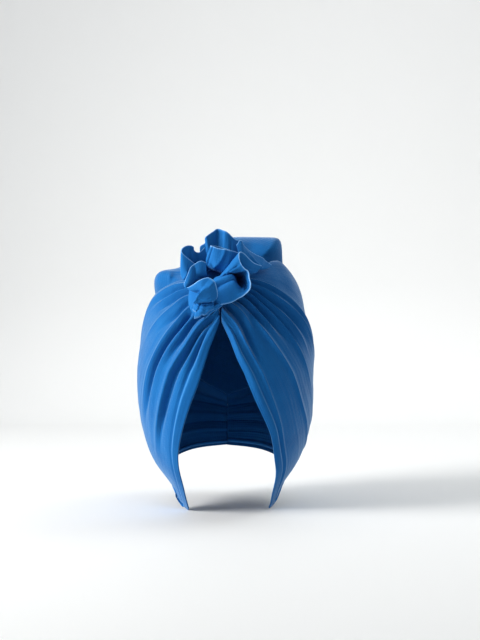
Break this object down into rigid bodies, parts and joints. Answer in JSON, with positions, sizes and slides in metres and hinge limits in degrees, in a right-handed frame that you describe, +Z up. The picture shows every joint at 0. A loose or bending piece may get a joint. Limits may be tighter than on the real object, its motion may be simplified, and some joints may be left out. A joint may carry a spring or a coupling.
{
  "type": "turban headwrap",
  "caption": "Pre-tied jersey turban with pleated front panels, an inverted V face opening and a ruffled rosette at the brow.",
  "frame": {"origin": "inside of the crown, where the cloth sits on the top of the head", "axes": "+Z up, -Y towards the face opening, +X towards the viewer's right"},
  "size_m": [0.1696, 0.2222, 0.2565],
  "materials": {
    "jersey": "matt knitted cotton jersey, royal blue",
    "ruffle_jersey": "the same jersey, single, with a light narrow edge"
  },
  "bodies": {
    "root": {"crown_bag": "jersey", "panel_left": "jersey", "panel_right": "jersey", "band_right": "jersey", "knot_wrap": "ruffle_jersey", "ruffle_front": "ruffle_jersey", "ruffle_right": "ruffle_jersey", "ruffle_middle": "ruffle_jersey", "ruffle_top": "ruffle_jersey", "ruffle_left": "ruffle_jersey", "ruffle_back": "ruffle_jersey"}
  },
  "joints": []
}
